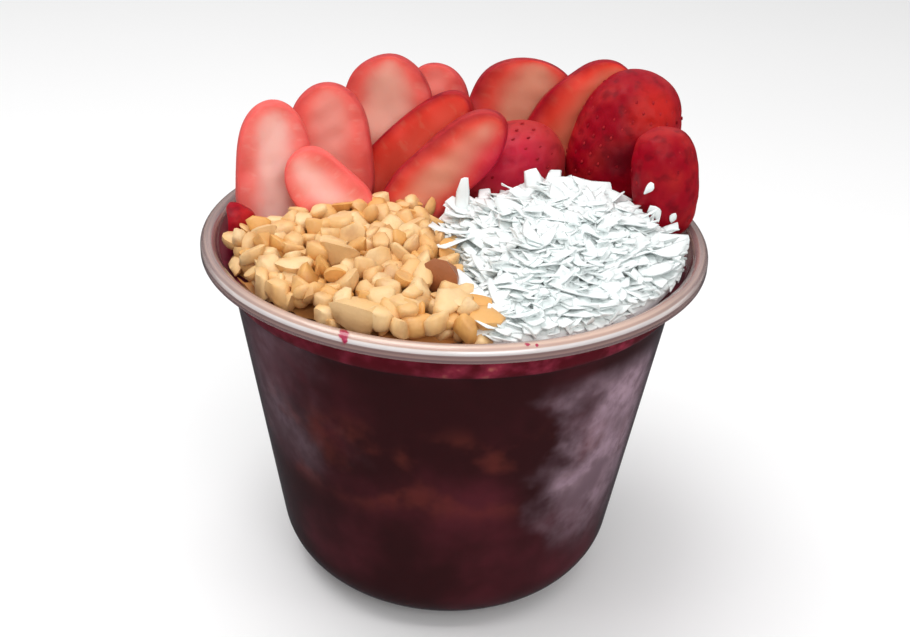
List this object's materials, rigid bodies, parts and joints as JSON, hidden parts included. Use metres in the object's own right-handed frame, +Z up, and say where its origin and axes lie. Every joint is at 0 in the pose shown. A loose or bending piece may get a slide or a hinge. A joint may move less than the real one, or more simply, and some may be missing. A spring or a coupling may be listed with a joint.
{
  "type": "acai bowl",
  "caption": "Clear tapered cup with a rolled lip, filled with acai and topped with strawberry slices, chopped peanuts and shredded coconut.",
  "frame": {"origin": "centre of the cup's flat base", "axes": "+Z up along the cup's axis, -Y towards the viewer with the peanuts and the coconut in front, +X to the coconut's side"},
  "size_m": [0.117, 0.117, 0.1186],
  "materials": {
    "clear_plastic": "clear gloss",
    "acai": "smooth and half frozen",
    "peanut": "dry roasted",
    "coconut": "soft white",
    "strawberry": "wet cut fruit"
  },
  "bodies": {
    "root": {"cup": "clear_plastic", "acai": "acai", "peanuts": "peanut", "coconut": "coconut", "slice_far_left_low": "strawberry", "slice_far_left": "strawberry", "slice_left_front": "strawberry", "slice_left": "strawberry", "slice_tall": "strawberry", "slice_back": "strawberry", "slice_lean_back": "strawberry", "slice_lean_front": "strawberry", "half_middle": "strawberry", "slice_wide": "strawberry", "slice_lean_right": "strawberry", "half_right": "strawberry", "half_far_right": "strawberry"}
  },
  "joints": []
}
